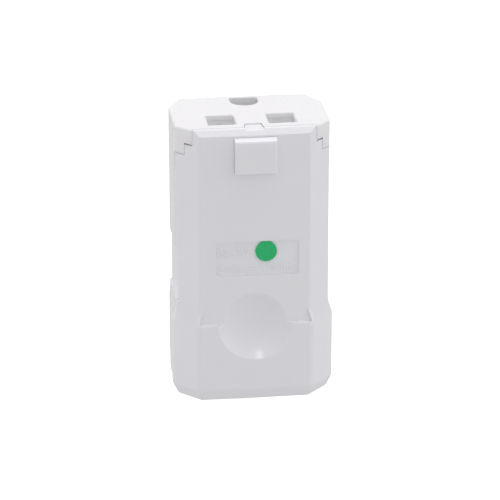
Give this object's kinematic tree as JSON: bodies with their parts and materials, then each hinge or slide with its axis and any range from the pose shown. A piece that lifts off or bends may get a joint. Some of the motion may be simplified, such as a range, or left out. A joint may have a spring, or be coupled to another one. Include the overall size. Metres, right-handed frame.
{
  "type": "cord connector",
  "caption": "Rewireable grounded female cord connector with a hinged front cover, push latch, clamping terminals and an internal cord clamp.",
  "frame": {"origin": "centre of the outline at the cord end, in the plane the part stands on", "axes": "+Z from the cord end to the plug face, -Y out of the hinged front cover, X across the two blade openings"},
  "size_m": [0.0344, 0.0254, 0.0605],
  "materials": {
    "white_nylon": "satin moulded nylon",
    "white_nylon_face": "satin moulded nylon",
    "green_plastic": "smooth",
    "white_insulator": "moulded insulating plastic",
    "grey_insulator": "moulded insulating plastic",
    "brass": "stamped sheet",
    "nickel_plate": "nickel plated",
    "green_steel": "green dyed plating",
    "steel": "zinc plated",
    "black_rubber": "soft elastomer"
  },
  "bodies": {
    "housing": {"rear_shell": "white_nylon", "face_block": "white_nylon_face", "contact_carrier": "white_insulator", "line_contact": "brass", "neutral_contact": "brass", "ground_contact": "brass", "cord_grommet": "black_rubber", "cord_saddle": "grey_insulator", "clamp_nuts": "steel", "hinge_pins": "steel"},
    "cover": {"front_cover": "white_nylon", "green_dot": "green_plastic", "latch_pin": "steel"},
    "latch": {"latch_tab": "white_nylon"},
    "line_terminal_screw": {"line_screw": "brass"},
    "neutral_terminal_screw": {"neutral_screw": "nickel_plate"},
    "ground_terminal_screw": {"ground_screw": "green_steel"},
    "line_nut": {"line_nut_plate": "brass"},
    "neutral_nut": {"neutral_nut_plate": "nickel_plate"},
    "ground_nut": {"ground_nut_plate": "brass"},
    "cord_clamp": {"clamp_bar": "grey_insulator"},
    "left_clamp_screw": {"clamp_screw_left": "steel"},
    "right_clamp_screw": {"clamp_screw_right": "steel"}
  },
  "joints": [
    {"name": "cover_hinge", "type": "hinge", "parent": "housing", "child": "cover", "pos_m": [0, -0.007, 0.0023], "axis": [1, 0, 0], "range_deg": [0, 90]},
    {"name": "latch_rock", "type": "hinge", "parent": "cover", "child": "latch", "pos_m": [0, -0.01045, 0.0519], "axis": [-1, 0, 0], "range_deg": [0, 12], "stiffness_Nm_per_rad": 0.1},
    {"name": "line_screw_turn", "type": "hinge", "parent": "housing", "child": "line_terminal_screw", "pos_m": [-0.00915, -0.0048, 0.0328], "axis": [0, 1, 0], "range_deg": [0, 720]},
    {"name": "line_nut_slide", "type": "slide", "parent": "housing", "child": "line_nut", "axis": [0, -1, 0], "range_m": [0, 0.0016]},
    {"name": "neutral_screw_turn", "type": "hinge", "parent": "housing", "child": "neutral_terminal_screw", "pos_m": [0.00915, -0.0048, 0.0328], "axis": [0, 1, 0], "range_deg": [0, 720]},
    {"name": "neutral_nut_slide", "type": "slide", "parent": "housing", "child": "neutral_nut", "axis": [0, -1, 0], "range_m": [0, 0.0016]},
    {"name": "ground_screw_turn", "type": "hinge", "parent": "housing", "child": "ground_terminal_screw", "pos_m": [0, -0.0048, 0.0328], "axis": [0, 1, 0], "range_deg": [0, 720]},
    {"name": "ground_nut_slide", "type": "slide", "parent": "housing", "child": "ground_nut", "axis": [0, -1, 0], "range_m": [0, 0.0016]},
    {"name": "clamp_slide", "type": "slide", "parent": "housing", "child": "cord_clamp", "axis": [0, 1, 0], "range_m": [0, 0.0032]},
    {"name": "left_clamp_turn", "type": "hinge", "parent": "cord_clamp", "child": "left_clamp_screw", "pos_m": [-0.0088, -0.0055, 0.012], "axis": [0, 1, 0], "range_deg": [0, 1440]},
    {"name": "right_clamp_turn", "type": "hinge", "parent": "cord_clamp", "child": "right_clamp_screw", "pos_m": [0.0088, -0.0055, 0.012], "axis": [0, 1, 0], "range_deg": [0, 1440]}
  ],
  "couplings": [
    {"joint": "line_screw_turn", "follows": "line_nut_slide", "rad_per_m": 7854},
    {"joint": "neutral_screw_turn", "follows": "neutral_nut_slide", "rad_per_m": 7854},
    {"joint": "ground_screw_turn", "follows": "ground_nut_slide", "rad_per_m": 7854},
    {"joint": "left_clamp_turn", "follows": "clamp_slide", "rad_per_m": 7854},
    {"joint": "right_clamp_turn", "follows": "clamp_slide", "rad_per_m": 7854}
  ]
}
